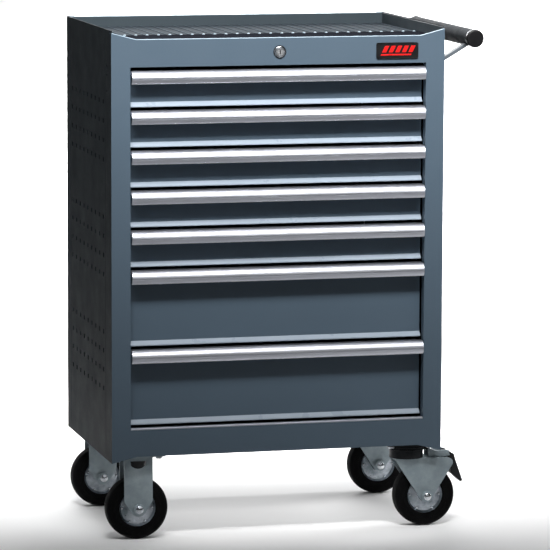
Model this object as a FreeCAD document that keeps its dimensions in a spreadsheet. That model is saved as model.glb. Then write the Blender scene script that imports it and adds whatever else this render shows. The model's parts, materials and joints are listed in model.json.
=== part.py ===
import FreeCAD, Part
import Sketcher
import math
import os

# Rolling tool chest: sheet-steel cabinet with seven drawers on full-extension slides, a mat-lined
# top tray, a push handle on the right side, a central lock and four castors.
# Units are millimetres. +X is the handle side, -Y the front, +Z up; z = 0 is the floor.
# The origin is the middle of the whole footprint. Most shapes are drawn from the cabinet's own
# datum: the middle of its width, its front face and the floor.

doc = FreeCAD.newDocument("RollingToolChest")

DIMENSIONS = [
    ("sheet_metal", 1.2, "thickness of every folded sheet"),
    ("cab_width", 675, "cabinet width"),
    ("cab_depth", 438, "cabinet depth, front face to back flange"),
    ("corner_bottom", 160, "height of the skirt corners above the floor"),
    ("rail_bottom", 172, "height of the bottom rail, and of the castor plates' top"),
    ("side_top", 1012, "top of the side panels"),
    ("corner_top", 1007, "top of the front frame's corners"),
    ("lip_top", 994, "top of the front lip between its corners"),
    ("slope_run", 49.5, "width of the sloping ends of lip and skirt"),
    ("open_half", 299.5, "half the width of the drawer opening"),
    ("open_bottom", 225, "lower edge of the drawer opening"),
    ("open_top", 940.5, "upper edge of the drawer opening"),
    ("return_depth", 18, "depth of the front frame's folded returns"),
    ("joggle_start", 4, "where the side panel's inner strip begins"),
    ("joggle_end", 30, "where the side panel's inner strip ends"),
    ("rear_flange", 16, "width of the side panels' rear flanges"),
    ("perf_front", 77, "first column of square holes behind the front face"),
    ("perf_top", 868.6, "height of the uppermost row of square holes"),
    ("perf_pitch", 38, "pitch of the square holes"),
    ("perf_size", 9, "width of one square hole"),
    ("perf_group", 228, "pitch of the groups of four rows"),
    ("mount_front", 41, "front handle holes behind the front face"),
    ("mount_rear", 421, "rear handle holes behind the front face"),
    ("spigot_height", 939, "height of the large handle holes"),
    ("screw_high", 923, "height of the upper screw holes"),
    ("screw_low", 892, "height of the lower screw holes"),
    ("spigot_hole", 4.75, "radius of the large handle holes"),
    ("screw_hole", 2.75, "radius of the small handle holes"),
    ("stay_screw_hole", 3.2, "radius of the screw holes in a stay"),
    ("crease_front", 57, "front pressed crease behind the front face"),
    ("crease_rear", 401, "rear pressed crease behind the front face"),
    ("crease_width", 1.6, "width of a pressed crease"),
    ("crease_sink", 0.35, "depth of a pressed crease"),
    ("tray_floor", 984, "underside of the top tray"),
    ("tray_lip", 1010.5, "top of the tray's side and back lips"),
    ("tray_front_lip", 992.5, "top of the tray's front lip"),
    ("tray_half", 335, "half the width of the top tray and base panel"),
    ("inner_back", 435.6, "front face of the back panel"),
    ("mat_half", 332.6, "half the width of the mat"),
    ("mat_thick", 3.8, "thickness of the mat's body"),
    ("rib_pitch", 23, "pitch of the mat's ribs"),
    ("rib_width", 3.5, "width of a rib"),
    ("rib_rise", 1, "height of a rib"),
    ("unit_pitch", 78.5, "height of one drawer unit"),
    ("first_top", 933, "top of the uppermost handle"),
    ("front_gap", 7, "gap between two drawer fronts"),
    ("front_half", 296.8, "half the width of a drawer front"),
    ("front_sink", 22, "drawer front's set-back from the frame"),
    ("flare_sink", 15, "set-back of the flared lower edge"),
    ("flare_rise", 9.5, "height of the flared lower edge"),
    ("front_return", 10, "depth of the returns at the ends of a drawer front"),
    ("drawer_half", 286.8, "half the outer width of a drawer box"),
    ("drawer_back", 424, "back of a drawer box behind the frame's face"),
    ("drawer_floor", 4, "underside of the drawer box above the front's lower edge"),
    ("wall_drop", 16, "drawer walls below the top of the handle"),
    ("catch_drop", 28, "lock catch below the top of the handle"),
    ("catch_rise", 10.5, "height of the lock catch"),
    ("finger_arm", 9.2, "arm of a lock finger above the drawer walls, clear of the catch when lowered"),
    ("pull_high", 26, "height of the handle extrusion"),
    ("pull_half", 297.5, "half the length of the handle extrusion"),
    ("pull_nose", 9, "handle's projection in front of the frame"),
    ("pull_wall", 1.6, "wall of the handle extrusion"),
    ("slide_start", 36, "front end of the slides"),
    ("slide_length", 388, "length of each slide member"),
    ("slide_rise", 10, "slide above the drawer front's lower edge"),
    ("slide_high", 35, "height of the outer slide member"),
    ("slide_gap", 0.3, "play between two slide members"),
    ("slide_depth", 12.7, "thickness of a complete slide"),
    ("post_depth", 30, "depth of an upright"),
    ("post_front", 60, "front upright behind the front face"),
    ("post_rear", 350, "rear upright behind the front face"),
    ("lock_height", 966.3, "height of the lock"),
    ("bezel_radius", 11, "lock bezel radius"),
    ("barrel_radius", 9.5, "lock barrel radius"),
    ("plug_radius", 7.5, "lock plug radius"),
    ("rod_radius", 2.5, "lock rod radius"),
    ("crank_throw", 7, "throw of the crank pin"),
    ("pin_radius", 1.5, "radius of the crank pin"),
    ("badge_centre", 239.5, "badge centre from the cabinet's middle"),
    ("badge_height", 965.3, "height of the badge centre"),
    ("badge_width", 86, "badge width"),
    ("badge_high", 32, "badge height"),
    ("badge_corner", 4, "badge corner radius"),
    ("grip_reach", 403.5, "grip axis from the cabinet's middle"),
    ("grip_height", 985.6, "height of the grip axis"),
    ("grip_radius", 17, "grip radius"),
    ("grip_wall", 3, "grip wall"),
    ("grip_start", 14, "front end of the grip tube"),
    ("grip_length", 416, "length of the grip tube"),
    ("cap_radius", 18, "end cap radius"),
    ("cap_length", 8, "end cap length outside the tube"),
    ("bracket_thick", 4, "bracket foot thickness"),
    ("bracket_wide", 18, "bracket width"),
    ("castor_x", 279, "castor plate centre from the cabinet's middle"),
    ("castor_front", 48, "front castors behind the front face"),
    ("castor_rear", 390, "rear castors behind the front face"),
    ("plate_long", 100, "castor plate length along X"),
    ("plate_wide", 85, "castor plate width along Y"),
    ("plate_thick", 3, "castor plate thickness"),
    ("bolt_long", 80, "bolt spacing along X"),
    ("bolt_wide", 60, "bolt spacing along Y"),
    ("bolt_radius", 4, "castor bolt radius"),
    ("bolt_hole", 4.5, "castor bolt hole radius"),
    ("wheel_radius", 62.5, "wheel radius"),
    ("axle_radius", 6, "axle bolt radius"),
    ("axle_hole", 6.05, "bore for the axle bolt"),
    ("fork_inner", 22, "half the gap between fork legs"),
    ("fork_thick", 2.5, "fork leg thickness"),
    ("leg_half", 28.75, "half the width of a fixed fork's leg"),
    ("castor_trail", 36, "swivel axis to wheel axle"),
    ("race_radius", 37, "swivel race radius"),
    ("crown_top", 156.7, "top of the swivel fork's crown"),
    ("web_top", 140, "top of the swivel fork's web"),
    ("kingpin_radius", 8, "kingpin radius"),
    ("brake_x", 81.5, "brake pivot in front of the swivel axis"),
    ("brake_z", 146.5, "height of the brake pivot"),
    ("brake_pin", 3, "brake pivot pin radius"),
    ("brake_half", 13, "half the width of the brake pedal"),
]

# Height in units of each drawer, from the top down.
DRAWER_UNITS = [1, 1, 1, 1, 1, 2, 2]

sheet = doc.addObject("Spreadsheet::Sheet", "Dimensions")
for row, (alias, value, note) in enumerate(DIMENSIONS, start=1):
    sheet.set(f"A{row}", note)
    sheet.set(f"B{row}", str(value))
    sheet.setAlias(f"B{row}", alias)
doc.recompute()


class Dim:
    """A length that carries its number and the spreadsheet formula behind it."""

    def __init__(self, value, text):
        self.value = float(value)
        self.text = text

    def __add__(self, other):
        other = dim(other)
        return Dim(self.value + other.value, f"({self.text} + {other.text})")

    def __sub__(self, other):
        other = dim(other)
        return Dim(self.value - other.value, f"({self.text} - {other.text})")

    def __mul__(self, factor):
        return Dim(self.value * factor, f"({self.text} * {factor})")

    def __neg__(self):
        return self * -1

    __radd__ = __add__
    __rmul__ = __mul__

    def __rsub__(self, other):
        return dim(other) - self


def dim(value):
    return value if isinstance(value, Dim) else Dim(value, f"{float(value):.6f}")


class Dimensions:
    """Gives each spreadsheet alias as a Dim: D.cab_width and so on."""

    def __init__(self, rows):
        self.rows = {alias: value for alias, value, note in rows}

    def __getattr__(self, alias):
        return Dim(self.rows[alias], f"Dimensions.{alias}")


D = Dimensions(DIMENSIONS)

# Derived positions in the cabinet's own datum.
HALF = D.cab_width * 0.5
T = D.sheet_metal
AXLE_Z = D.wheel_radius

# The cabinet's datum in the frame whose origin is the middle of the whole footprint.
CABINET_X = (D.castor_x + D.wheel_radius - D.grip_reach - D.cap_radius) * 0.5
FRONT_Y = (D.pull_nose - D.cab_depth) * 0.5

nodes = []
SIDES = (("left", -1), ("right", 1))


# ---------------------------------------------------------------- helpers

def bind(obj, path, value):
    obj.setExpression(path, value.text)


def place(obj, x, y, z):
    """Places an object at a point given in the cabinet's datum."""
    point = (CABINET_X + x, FRONT_Y + y, dim(z))
    obj.Placement = FreeCAD.Placement(FreeCAD.Vector(*[p.value for p in point]), FreeCAD.Rotation())
    for axis, value in zip("xyz", point):
        bind(obj, f".Placement.Base.{axis}", value)


def keep(obj, label):
    """Marks an object as a sub-part that is written to its own file."""
    obj.Label = label
    nodes.append(obj)
    return obj


def new_body(name, x=0, y=0, z=0):
    body = doc.addObject("PartDesign::Body", name)
    place(body, x, y, z)
    return body


def fix_point(sketch, geo, pos, x, y):
    """Ties one point of a sketch to its coordinates."""
    for kind, axis, value in (("DistanceX", -2, dim(x)), ("DistanceY", -1, dim(y))):
        if abs(value.value) < 1e-9:
            sketch.addConstraint(Sketcher.Constraint("PointOnObject", geo, pos, axis))
            continue
        if value.value > 0:
            index = sketch.addConstraint(Sketcher.Constraint(kind, -1, 1, geo, pos, value.value))
        else:
            value = -value
            index = sketch.addConstraint(Sketcher.Constraint(kind, geo, pos, -1, 1, value.value))
        bind(sketch, f"Constraints[{index}]", value)


def arc_geometry(start, end, radius):
    """Arc between two points; a positive radius bows to the right of the way from start to end."""
    chord = end - start
    half = chord.Length / 2
    middle = (start + end) * 0.5
    left = FreeCAD.Vector(-chord.y, chord.x, 0).normalize()
    reach = math.sqrt(max(radius * radius - half * half, 0))
    centre = middle + left * (reach if radius > 0 else -reach)
    first, last = (start, end) if radius > 0 else (end, start)
    angles = [math.atan2(p.y - centre.y, p.x - centre.x) for p in (first, last)]
    circle = Part.Circle(centre, FreeCAD.Vector(0, 0, 1), abs(radius))
    return Part.ArcOfCircle(circle, angles[0], angles[1])


def draw_loop(sketch, corners, arcs):
    """Closed loop through the corners; arcs gives {edge index: signed radius}."""
    points = [FreeCAD.Vector(dim(x).value, dim(y).value, 0) for x, y in corners]
    edges = []
    for i, start in enumerate(points):
        end = points[(i + 1) % len(points)]
        if i in arcs:
            radius = dim(arcs[i])
            geo = sketch.addGeometry(arc_geometry(start, end, radius.value))
            edges.append((geo, 1, 2) if radius.value > 0 else (geo, 2, 1))
        else:
            edges.append((sketch.addGeometry(Part.LineSegment(start, end)), 1, 2))
    for i, (geo, first, last) in enumerate(edges):
        following, its_first, its_last = edges[(i + 1) % len(edges)]
        sketch.addConstraint(Sketcher.Constraint("Coincident", geo, last, following, its_first))
    for (geo, first, last), (x, y) in zip(edges, corners):
        fix_point(sketch, geo, first, x, y)
    for i, radius in arcs.items():
        radius = dim(radius)
        radius = radius if radius.value > 0 else -radius
        index = sketch.addConstraint(Sketcher.Constraint("Radius", edges[i][0], radius.value))
        bind(sketch, f"Constraints[{index}]", radius)


def draw_circle(sketch, x, y, radius):
    centre = FreeCAD.Vector(dim(x).value, dim(y).value, 0)
    circle = Part.Circle(centre, FreeCAD.Vector(0, 0, 1), dim(radius).value)
    geo = sketch.addGeometry(circle)
    fix_point(sketch, geo, 3, x, y)
    index = sketch.addConstraint(Sketcher.Constraint("Radius", geo, dim(radius).value))
    bind(sketch, f"Constraints[{index}]", dim(radius))


def loop(corners, arcs=None):
    return lambda sketch: draw_loop(sketch, corners, arcs or {})


def circle(x, y, radius):
    return lambda sketch: draw_circle(sketch, x, y, radius)


def rect(x0, y0, x1, y1):
    return loop([(x0, y0), (x1, y0), (x1, y1), (x0, y1)])


def add_sketch(body, plane, level, shapes):
    """Sketch parallel to an origin plane; level is its coordinate along the third axis."""
    sketch = body.newObject("Sketcher::SketchObject", f"{body.Name}_sketch")
    for feature in body.Origin.OriginFeatures:
        if feature.Role == f"{plane}_Plane":
            sketch.AttachmentSupport = [(feature, "")]
    sketch.MapMode = "FlatFace"
    offset = -dim(level) if plane == "XZ" else dim(level)
    shift = FreeCAD.Vector(0, 0, offset.value)
    sketch.AttachmentOffset = FreeCAD.Placement(shift, FreeCAD.Rotation())
    bind(sketch, ".AttachmentOffset.Base.z", offset)
    for shape in shapes:
        shape(sketch)
    return sketch


def pad(body, plane, level, length, shapes):
    """Adds material from level to level + length along the plane's axis."""
    feature = body.newObject("PartDesign::Pad", f"{body.Name}_pad")
    feature.Profile = add_sketch(body, plane, level, shapes)
    feature.Length = dim(length).value
    bind(feature, "Length", dim(length))
    feature.Reversed = plane == "XZ"
    body.Tip = feature
    return feature


def pocket(body, plane, level, length, shapes):
    """Removes material from level to level + length along the plane's axis."""
    feature = body.newObject("PartDesign::Pocket", f"{body.Name}_pocket")
    feature.Profile = add_sketch(body, plane, level, shapes)
    feature.Length = dim(length).value
    bind(feature, "Length", dim(length))
    feature.Reversed = plane != "XZ"
    body.Tip = feature
    return feature


def revolve(body, corners, arcs=None):
    """Turns a profile drawn as (distance along Y, radius) about the body's own Y axis."""
    feature = body.newObject("PartDesign::Revolution", f"{body.Name}_turned")
    sketch = add_sketch(body, "YZ", 0, [loop(corners, arcs)])
    feature.Profile = sketch
    feature.ReferenceAxis = (sketch, ["H_Axis"])
    feature.Angle = 360
    body.Tip = feature
    return feature


def row_of(body, original, directions):
    """Repeats a feature; directions lists (plane role letter, sign, pitch, count)."""
    transform = body.newObject("PartDesign::MultiTransform", f"{body.Name}_rows")
    transform.Originals = [original]
    steps = []
    for letter, reverse, pitch, count in directions:
        step = body.newObject("PartDesign::LinearPattern", f"{body.Name}_row")
        for feature in body.Origin.OriginFeatures:
            if feature.Role == f"{letter}_Axis":
                step.Direction = (feature, [""])
        step.Reversed = reverse
        length = pitch * (count - 1)
        step.Length = length.value
        bind(step, "Length", length)
        step.Occurrences = count
        steps.append(step)
    transform.Transformations = steps
    body.Tip = transform
    return transform


def box(x0, y0, z0, x1, y1, z1, name="Block"):
    """Part::Box between two corners given in the cabinet's datum."""
    block = doc.addObject("Part::Box", name)
    spans = (dim(x1) - dim(x0), dim(y1) - dim(y0), dim(z1) - dim(z0))
    for prop, span in zip(("Length", "Width", "Height"), spans):
        setattr(block, prop, span.value)
        bind(block, prop, span)
    place(block, dim(x0), dim(y0), z0)
    return block


def cut(base, tool, name="Channel"):
    result = doc.addObject("Part::Cut", name)
    result.Base = base
    result.Tool = tool
    return result


def fuse(shapes, name="Joined"):
    result = doc.addObject("Part::MultiFuse", name)
    result.Shapes = shapes
    return result


def group(label, members):
    """Several separate solids that make one sub-part."""
    compound = doc.addObject("Part::Compound", label)
    compound.Links = members
    return keep(compound, label)


def rod(x, y, z, radius, length, axis, name="Rod", sides=0):
    """Cylinder, or hexagon when sides is 6, from a point in the cabinet's datum along an axis."""
    kind = "Part::Prism" if sides else "Part::Cylinder"
    piece = doc.addObject(kind, name)
    if sides:
        piece.Polygon = sides
        piece.Circumradius = dim(radius).value
        bind(piece, "Circumradius", dim(radius))
    else:
        piece.Radius = dim(radius).value
        bind(piece, "Radius", dim(radius))
    piece.Height = dim(length).value
    bind(piece, "Height", dim(length))
    place(piece, dim(x), dim(y), z)
    turn = FreeCAD.Rotation(FreeCAD.Vector(0, 0, 1), FreeCAD.Vector(*axis))
    piece.Placement = FreeCAD.Placement(piece.Placement.Base, turn)
    return piece


def both(side, near, far):
    """X span of something on one side of the cabinet, in rising order."""
    span = (near * side, far * side)
    return span if side > 0 else span[::-1]


# ---------------------------------------------------------------- cabinet shell

def front_frame():
    """Front sheet with the drawer opening, its jamb returns and the returns round the sides."""
    body = new_body("front_frame")
    slope = HALF - D.slope_run
    outline = [
        (-HALF, D.corner_bottom), (-slope, D.rail_bottom),
        (slope, D.rail_bottom), (HALF, D.corner_bottom),
        (HALF, D.corner_top), (slope, D.lip_top),
        (-slope, D.lip_top), (-HALF, D.corner_top),
    ]
    window = rect(-D.open_half, D.open_bottom, D.open_half, D.open_top)
    pad(body, "XZ", 0, T, [loop(outline), window, circle(0, D.lock_height, D.barrel_radius + 0.2)])
    jamb = rect(-D.open_half - T, D.open_bottom - T, D.open_half + T, D.open_top + T)
    left = rect(-HALF, D.corner_bottom, -HALF + T, D.corner_top)
    right = rect(HALF - T, D.corner_bottom, HALF, D.corner_top)
    pad(body, "XZ", T * 0.5, D.return_depth - T * 0.5, [jamb, window, left, right])
    keep(body, "front_frame")


def side_panel(name, side):
    """Folded side sheet with square tool holes, handle holes and two pressed creases."""
    body = new_body(name)
    outer = HALF * side
    inner = (HALF - T) * side
    strip = (HALF - T * 2) * side
    flange = (HALF - D.rear_flange) * side
    profile = [
        (outer, D.return_depth), (outer, D.cab_depth),
        (flange, D.cab_depth), (flange, D.cab_depth - T),
        (inner, D.cab_depth - T), (inner, D.joggle_end),
        (strip, D.joggle_end), (strip, D.joggle_start),
        (inner, D.joggle_start), (inner, D.return_depth),
    ]
    pad(body, "XY", D.corner_bottom, D.side_top - D.corner_bottom, [loop(profile)])
    low, high = both(side, HALF - T * 2 - 1, HALF + 1)
    holes = []
    for y in (D.mount_front, D.mount_rear):
        holes.append(circle(y, D.spigot_height, D.spigot_hole))
        holes.append(circle(y, D.screw_high, D.screw_hole))
        holes.append(circle(y, D.screw_low, D.screw_hole))
    pocket(body, "YZ", low, high - low, holes)
    face_low, face_high = both(side, HALF - D.crease_sink, HALF + 1)
    creases = []
    for y in (D.crease_front, D.crease_rear):
        creases.append(rect(y, D.rail_bottom, y + D.crease_width, D.lip_top))
    pocket(body, "YZ", face_low, face_high - face_low, creases)
    half = D.perf_size * 0.5
    square = rect(D.perf_front - half, D.perf_top - half, D.perf_front + half, D.perf_top + half)
    hole = pocket(body, "YZ", low, high - low, [square])
    rows = [
        ("Y", False, D.perf_pitch, 9),
        ("Z", True, D.perf_pitch, 4),
        ("Z", True, D.perf_group, 3),
    ]
    row_of(body, hole, rows)
    keep(body, name)


def back_panel():
    body = new_body("back_panel")
    low = D.corner_bottom + 2
    high = D.side_top - 2
    pad(body, "XZ", D.inner_back, T, [rect(-D.tray_half, low, D.tray_half, high)])
    keep(body, "back_panel")


def top_panel():
    """Shallow tray with lips at the back and sides and a lower lip behind the front rail."""
    body = new_body("top_panel")
    back = D.inner_back
    pad(body, "XY", D.tray_floor, D.tray_lip - D.tray_floor,
        [rect(-D.tray_half, T, D.tray_half, back)])
    pocket(body, "XY", D.tray_floor + T, 40,
           [rect(T - D.tray_half, T * 2, D.tray_half - T, back - T)])
    pocket(body, "XY", D.tray_front_lip, 40, [rect(T - D.tray_half, 0, D.tray_half - T, T * 2)])
    keep(body, "top_panel")


def top_mat():
    """Rubber mat with ribs that run from front to back."""
    body = new_body("top_mat", 0, 0, D.tray_floor + T)
    front = T * 2 + 0.3
    back = D.inner_back - T - 0.3
    pad(body, "XY", 0, D.mat_thick, [rect(-D.mat_half, front, D.mat_half, back)])
    start = -D.rib_pitch * 14
    rib = pad(body, "XY", D.mat_thick, D.rib_rise,
              [rect(start - D.rib_width * 0.5, front + 1, start + D.rib_width * 0.5, back - 1)])
    row_of(body, rib, [("X", False, D.rib_pitch, 29)])
    keep(body, "top_mat")


def castor_centres():
    """Plate centre of each castor: name, x, y."""
    for row, y in (("front", D.castor_front), ("rear", D.castor_rear)):
        yield f"{row}_left", -D.castor_x, y
        yield f"{row}_right", D.castor_x, y


def bolt_points(x, y):
    """Four bolt centres of one castor plate."""
    for step_x in (-0.5, 0.5):
        for step_y in (-0.5, 0.5):
            yield x + D.bolt_long * step_x, y + D.bolt_wide * step_y


def base_panel():
    body = new_body("base_panel")
    pad(body, "XY", D.rail_bottom, T, [rect(-D.tray_half, T, D.tray_half, D.inner_back)])
    holes = []
    for name, x, y in castor_centres():
        holes += [circle(bolt_x, bolt_y, D.bolt_hole) for bolt_x, bolt_y in bolt_points(x, y)]
    pocket(body, "XY", D.rail_bottom - 1, 4, holes)
    keep(body, "base_panel")


def slide_uprights():
    """Four channels between the side panels and the slides."""
    posts = []
    low = D.rail_bottom + T
    for name, side in SIDES:
        for y in (D.post_front, D.post_rear):
            x0, x1 = both(side, D.open_half, HALF - T)
            hollow0, hollow1 = both(side, D.open_half + T, HALF - T)
            block = box(x0, y, low, x1, y + D.post_depth, D.tray_floor)
            hollow = box(hollow0, y + T, low, hollow1, y + D.post_depth - T, D.tray_floor)
            posts.append(cut(block, hollow))
    group("slide_uprights", posts)


# ---------------------------------------------------------------- drawers

def drawer_levels():
    """Lower edge and height of each drawer front, from the top down: number, bottom, height."""
    used = 0
    for number, units in enumerate(DRAWER_UNITS, start=1):
        top = D.first_top - D.unit_pitch * used
        height = D.unit_pitch * units - D.front_gap
        yield number, top - height, height
        used += units


def channel(side, back, mouth, bottom, height, open_outward):
    """One C-shaped slide member. back and mouth are distances in from the slide's fixed face."""
    x_back = D.open_half - back
    x_mouth = D.open_half - mouth
    x0, x1 = both(side, x_mouth, x_back)
    web = (x_mouth + T, x_back) if open_outward else (x_mouth, x_back - T)
    hollow0, hollow1 = both(side, *web)
    y1 = D.slide_start + D.slide_length
    block = box(x0, D.slide_start, bottom, x1, y1, bottom + height)
    hollow = box(hollow0, D.slide_start, bottom + T, hollow1, y1, bottom + height - T)
    return cut(block, hollow)


def slides():
    """Outer members on the uprights, middle members, and runners on the drawer sides."""
    outers = []
    play = D.slide_gap
    for number, bottom, height in drawer_levels():
        level = bottom + D.slide_rise
        middle_level = level + T + play
        middle_high = D.slide_high - T * 2 - play * 2
        runner_level = middle_level + T + play
        runner_high = middle_high - T * 2 - play * 2
        middles = []
        runners = []
        for name, side in SIDES:
            outers.append(channel(side, dim(0), D.slide_depth - T, level, D.slide_high, False))
            middles.append(channel(side, T + 0.4, D.slide_depth - 0.7,
                                   middle_level, middle_high, False))
            runners.append(channel(side, T * 2 + 1.6, D.slide_depth,
                                   runner_level, runner_high, True))
        group(f"drawer_{number}_sliders", middles)
        group(f"drawer_{number}_runners", runners)
    group("slide_outer_members", outers)


def drawer_tray(number, bottom, height):
    """Folded drawer box with its front sheet, whose lower edge flares forward."""
    body = new_body(f"drawer_{number}_tray", 0, 0, bottom)
    front = D.front_sink
    front_sheet = [
        (front, height - D.pull_wall), (front, D.flare_rise),
        (D.flare_sink, 2), (D.flare_sink, 0),
        (D.flare_sink + T, 0), (D.flare_sink + T, 1.6),
        (front + T, D.flare_rise - 0.4), (front + T, height - D.pull_wall),
    ]
    pad(body, "YZ", -D.front_half, D.front_half * 2, [loop(front_sheet)])
    wall_top = height - D.wall_drop
    pad(body, "XY", D.drawer_floor, wall_top - D.drawer_floor,
        [rect(-D.drawer_half, front + T * 0.5, D.drawer_half, D.drawer_back)])
    pocket(body, "XY", D.drawer_floor + T, wall_top,
           [rect(T - D.drawer_half, front + T, D.drawer_half - T, D.drawer_back - T)])
    behind = front + T * 0.5
    depth = behind + D.front_return
    returns = [
        rect(-D.front_half, behind, T - D.front_half, depth),
        rect(D.front_half - T, behind, D.front_half, depth),
    ]
    pad(body, "XY", D.flare_rise, height - D.flare_rise - 4, returns)
    wall = D.drawer_back - T * 0.5
    catch = height - D.catch_drop
    catch_end = D.drawer_back + 5
    hook = [
        (wall, catch), (catch_end, catch),
        (catch_end, catch + D.catch_rise), (catch_end - T, catch + D.catch_rise),
        (catch_end - T, catch + T), (wall, catch + T),
    ]
    pad(body, "YZ", -8, 10, [loop(hook)])
    keep(body, body.Name)


def drawer_pull(number, bottom, height):
    """Full-width handle extrusion, open below and behind so that fingers reach behind its lip."""
    body = new_body(f"drawer_{number}_handle", 0, 0, bottom + height - D.pull_high)
    top = D.pull_high
    wall = D.pull_wall
    sink = D.front_sink
    nose = -D.pull_nose
    profile = [
        (sink, top), (1, top), (nose, 13), (nose, 11), (nose + 1.1, 10.4), (nose + 1.1, 9.6),
        (nose + 0.5, 9.1), (nose + 4.2, 1.2), (nose + 6.5, 0), (nose + 7, 1.4),
        (nose + 5.4, 2.4), (nose + wall + 1.2, 9.4), (nose + wall + 0.2, 13),
        (1.6, top - wall), (sink - wall, top - wall),
        (sink - wall, top - 8), (sink, top - 8),
    ]
    pad(body, "YZ", -D.pull_half, D.pull_half * 2, [loop(profile, {1: 18, 6: 16, 12: -16.4})])
    keep(body, body.Name)


# ---------------------------------------------------------------- lock and badge

def lock():
    """Lock in the top rail, the rod it turns and the bar behind the drawers that the rod moves."""
    housing = new_body("lock_housing", 0, 0, D.lock_height)
    bore = D.plug_radius + 0.05
    pad(housing, "XZ", -3, 3, [circle(0, 0, D.bezel_radius), circle(0, 0, bore)])
    pad(housing, "XZ", 0, 18, [circle(0, 0, D.barrel_radius), circle(0, 0, bore)])
    keep(housing, "lock_housing")

    plug = new_body("lock_plug", 0, 0, D.lock_height)
    pad(plug, "XZ", -3.6, 22, [circle(0, 0, D.plug_radius)])
    pocket(plug, "XZ", -4, 9, [rect(-0.9, -4.5, 0.9, 4.5)])
    keep(plug, "lock_plug")

    shaft = new_body("lock_shaft", 0, 0, D.lock_height)
    crank_at = D.drawer_back + 3
    pin = D.crank_throw * math.sqrt(0.5)
    pad(shaft, "XZ", 18.4, crank_at - 18, [circle(0, 0, D.rod_radius)])
    pad(shaft, "XZ", crank_at, 2, [circle(0, 0, D.crank_throw + D.rod_radius)])
    pad(shaft, "XZ", crank_at + 1, 5, [circle(pin, pin, D.pin_radius)])
    keep(shaft, "lock_shaft")

    bar = new_body("lock_bar", 0, 0, D.lock_height)
    plate_at = D.drawer_back + 6
    slot = rect(pin - 2.2, pin - D.pin_radius - 0.3, D.crank_throw + 2.2, pin + D.pin_radius + 0.3)
    low = D.open_bottom + 60 - D.lock_height
    pad(bar, "XZ", plate_at, 2, [rect(-10, low, 14, 14), slot])
    fingers = []
    for number, bottom, height in drawer_levels():
        wall_top = bottom + height - D.wall_drop - D.lock_height
        arm = wall_top + D.finger_arm
        fingers.append(loop([
            (plate_at + 1, arm), (plate_at + 1, arm + 1.6),
            (D.drawer_back + T, arm + 1.6), (D.drawer_back + T, wall_top),
            (D.drawer_back + T + 1.6, wall_top), (D.drawer_back + T + 1.6, arm),
        ]))
    pad(bar, "YZ", -7, 8, fingers)
    keep(bar, "lock_bar")


def name_badge():
    """Plain plate with rounded corners on the top rail."""
    body = new_body("name_badge", D.badge_centre, 0, D.badge_height)
    x = D.badge_width * 0.5
    z = D.badge_high * 0.5
    r = D.badge_corner
    corners = [
        (r - x, -z), (x - r, -z), (x, r - z), (x, z - r),
        (x - r, z), (r - x, z), (-x, z - r), (-x, r - z),
    ]
    pad(body, "XZ", -2, 2, [loop(corners, {1: r, 3: r, 5: r, 7: r})])
    keep(body, "name_badge")


# ---------------------------------------------------------------- push handle

def push_handle():
    """Grip tube on two stays screwed to the right side panel."""
    stays = []
    screws = []
    half = D.bracket_wide * 0.5
    foot = HALF + D.bracket_thick
    for place_name, y in (("front", D.mount_front), ("rear", D.mount_rear)):
        stay = new_body(f"stay_{place_name}", 0, y, 0)
        profile = [
            (HALF, D.screw_low - 10), (foot, D.screw_low - 10),
            (foot, D.spigot_height - 1.6), (D.grip_reach - 3.4, D.grip_height - 13.4),
            (D.grip_reach - 7, D.grip_height - 7.4), (foot, D.spigot_height + 6.6),
            (foot, D.spigot_height + 13), (HALF, D.spigot_height + 13),
        ]
        pad(stay, "XZ", -half, D.bracket_wide, [loop(profile)])
        pocket(stay, "XZ", -half - 1, D.bracket_wide + 2,
               [circle(D.grip_reach, D.grip_height, D.grip_radius)])
        holes = [circle(0, z, D.stay_screw_hole) for z in (D.screw_high, D.screw_low)]
        pocket(stay, "YZ", HALF - 1, D.bracket_thick + 2, holes)
        pad(stay, "YZ", HALF - 4, 5, [circle(0, D.spigot_height, D.spigot_hole - 0.25)])
        stays.append(stay)
        for z in (D.screw_high, D.screw_low):
            shank = rod(HALF - 8, y, z, D.screw_hole - 0.25, D.bracket_thick + 9, (1, 0, 0))
            head = rod(foot, y, z, D.screw_hole * 2, 3, (1, 0, 0))
            screws.append(fuse([shank, head]))
    group("handle_brackets", stays)
    group("handle_screws", screws)

    grip = new_body("handle_grip", D.grip_reach, D.grip_start, D.grip_height)
    pad(grip, "XZ", 0, D.grip_length,
        [circle(0, 0, D.grip_radius), circle(0, 0, D.grip_radius - D.grip_wall)])
    keep(grip, "handle_grip")

    caps = []
    plug_radius = D.grip_radius - D.grip_wall - 0.1
    for place_name, side, y in (("front", -1, D.grip_start),
                                ("rear", 1, D.grip_start + D.grip_length)):
        cap = new_body(f"cap_{place_name}", D.grip_reach, y, D.grip_height)
        revolve(cap, [
            (-12 * side, 0), (-12 * side, plug_radius), (0, plug_radius), (0, D.cap_radius),
            ((D.cap_length - 3) * side, D.cap_radius), (D.cap_length * side, D.cap_radius - 3),
            (D.cap_length * side, 0),
        ], {4: 3 * -side})
        caps.append(cap)
    group("handle_end_caps", caps)


# ---------------------------------------------------------------- castors

def axle_bolt(x, y):
    """Axle bolt with its hexagon head to the front and its nut to the back."""
    reach = D.fork_inner + D.fork_thick
    shank = rod(x, y - reach, AXLE_Z, D.axle_radius, reach * 2, (0, 1, 0))
    head = rod(x, y - reach - 6, AXLE_Z, D.axle_radius * 1.6, 6, (0, 1, 0), sides=6)
    nut = rod(x, y + reach, AXLE_Z, D.axle_radius * 1.6, 6, (0, 1, 0), sides=6)
    return fuse([shank, head, nut])


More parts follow.
